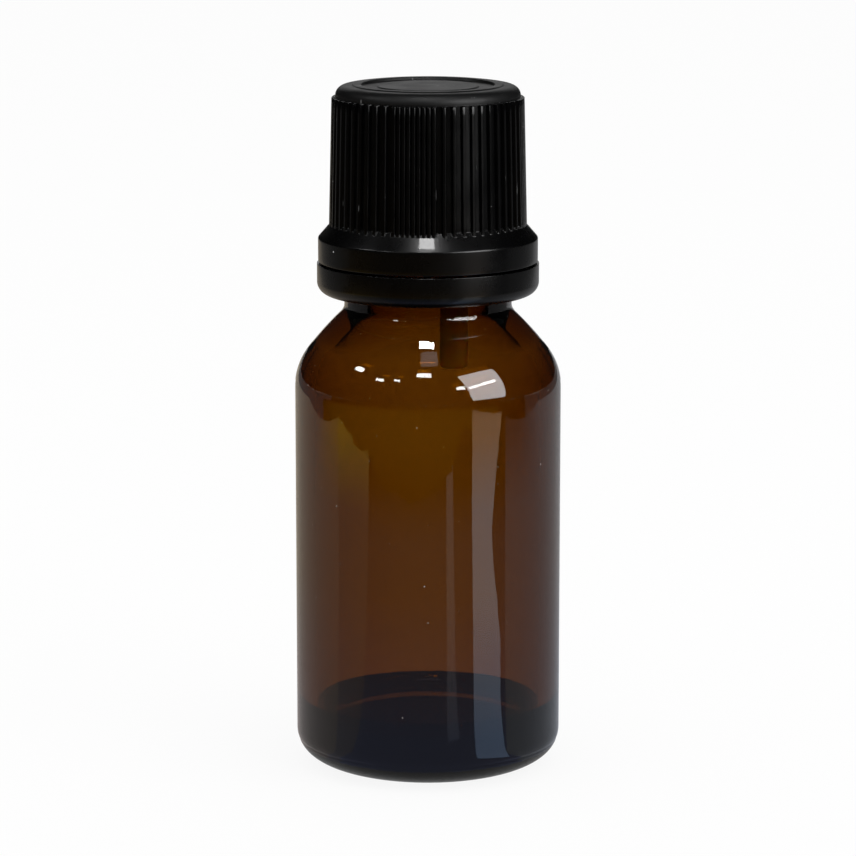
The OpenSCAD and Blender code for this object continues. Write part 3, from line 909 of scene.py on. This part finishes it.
def far_floor():
    """The unlit floor past the table, dim behind and with a golden glow in front."""
    end = ROOM_R * 0.8
    front_half = [(end, 0), (-end, 0), (-end, -end), (end, -end)]
    back_half = [(end, 0), (end, end), (-end, end), (-end, 0)]
    flat_card("room_floor_front", front_half, ROOM_FLOOR_Z, glow("room_floor", 0))
    flat_card("room_floor_back", back_half, ROOM_FLOOR_Z, glow("room_floor_dim", 0.14))
    dark_gold = (0.08, 0.04, 0)
    gold = reflected_table_light("floor_gold", dark_gold, dark_gold, far=(0.36, 0.2, 0.01), fade=(0.24, 0.33))
    flat_card("floor_gold", foot_arc(-100, 60, r=340) + foot_arc(60, -100, r=100), FAR_FLOOR_Z, gold)


def table():
    """The table round the bottle, in four glowing cards that meet at its foot, painted with its light and
    shade as reflections show it.
    """
    end = ROOM_R * 0.8
    left_edge = [(-211, 2), (-199, 105), (-230, end), (0, end)]
    right_edge = [(0, end), (230, end), (230, 0), (230, 150)]
    left = reflected_table_light("table_left", (0.45, 0.41, 0.4), (0.47, 0.41, 0.33), far=(1.05, 0.7, 0.15))
    flat_card("table_left", foot_arc(-180, LEFT_MEETS) + LEFT_LINE + left_edge, TABLE_Z, left)
    right = reflected_table_light("table_right", (0.4, 0.42, 0.47), (0.42, 0.42, 0.43), far=(0.22, 0.18, 0.16))
    flat_card("table_right", right_edge + RIGHT_LINE + foot_arc(RIGHT_MEETS, 180), TABLE_Z, right)
    turn = reflected_table_light("table_turn", (0.34, 0.33, 0.38), (0.3, 0.28, 0.24), far=(1.15, 0.8, 0.1))
    flat_card("table_turn", LEFT_LINE + LEFT_CORNER + foot_arc(FRONT_MEETS, LEFT_MEETS), TABLE_Z, turn)
    front_faded = {"fade": (0.13, 0.17), "faded": (0.1, 0.06, 0.01)}
    front = reflected_table_light("table_front", (0.25, 0.27, 0.4), (0.13, 0.15, 0.16), **front_faded)
    flat_card("table_front", foot_arc(RIGHT_MEETS, FRONT_MEETS) + FRONT_EDGE + RIGHT_LINE, TABLE_Z, front)


def bright_strip():
    """The painted strip of light across the table to the right, and the faint painted line beside it."""
    strip_far = {"far": (2, 1.35, 0.8), "fade": (0.222, 0.255), "faded": (0.3, 0.15, 0.02)}
    strip = reflected_table_light("table_bright", (0.75, 1.0, 1.5), (1.55, 1.62, 1.65), **strip_far)
    flat_card("table_bright", STRIP_LEFT + STRIP_RIGHT, STRIP_Z, strip)
    faint = reflected_table_light("table_faint", (0.38, 0.42, 0.6), (0.55, 0.55, 0.52), far=(0.7, 0.5, 0.3))
    flat_card("table_faint", FAINT_LINE, STRIP_Z, faint)


def under_foot():
    """The glow under the heel, and what darkens the floor as the glass shows it."""
    heel = glow("heel_glow", 0.3)
    round_card("heel_glow", HEEL_GLOW_IN_R, HEEL_GLOW_OUT_R, HEEL_GLOW_Z, heel, glossy=True)
    round_card("contact_shadow", 0.1, CONTACT_R, CONTACT_Z, glow("contact_shadow", 0.03), through=True)
    round_card("low_shade", SHADE_IN_R, SHADE_OUT_R, SHADE_Z, shade_from_below(), through=True)


def camera():
    data = bpy.data.cameras.new("camera")
    data.lens = CAMERA_LENS
    data.sensor_width = SENSOR_W
    data.clip_start = 0.01
    data.clip_end = 50.0
    thing = bpy.data.objects.new("camera", data)
    thing.location = CAMERA_AT * MM
    aim = CAMERA_TO - CAMERA_AT
    thing.rotation_euler = aim.to_track_quat("-Z", "Y").to_euler()
    bpy.context.scene.collection.objects.link(thing)
    bpy.context.scene.camera = thing


# The pieces


def dress(piece, body, material, node):
    """Gives a piece its material and its body, and lets it stand for its solid."""
    piece.data.materials.append(material)
    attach(piece, body)
    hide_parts(node)


def pieces():
    """The dressed pieces that stand for their solids, and the insert, which keeps its own."""
    glass = spun("amber_bottle", glass_outline(), GLASS_COLUMNS, glass_shape)
    dress(glass, "bottle", amber_glass(), "glass_bottle")
    cap = spun("ribbed_cap", cap_outline(), CAP_COLUMNS, cap_shape)
    sharpen(cap, CRISP_ANGLE)
    cap_black = black_plastic("black_cap", GROOVE_FOOT_Z * MM, RIB_TOP_Z * MM)
    dress(cap, "cap", cap_black, "screw_cap")
    ring = spun("tamper_band", ring_outline(), RING_COLUMNS, ring_shape, closed=True)
    sharpen(ring, CRISP_ANGLE)
    ring_black = black_plastic("black_ring", ABOVE_ALL, ABOVE_ALL)
    dress(ring, "ring", ring_black, "tamper_ring")
    liner = spun("foam_liner", liner_outline(), LINER_COLUMNS)
    dress(liner, "seal", white_foam(), "cap_liner")
    insert = frame["nodes"]["dropper_insert"]
    insert.data.materials.clear()
    insert.data.materials.append(natural_polyethylene())


pieces()
camera()
floor()
world()
lights()
far_floor()
table()
bright_strip()
under_foot()
dark_room()
bpy.context.scene.view_settings.view_transform = "Standard"
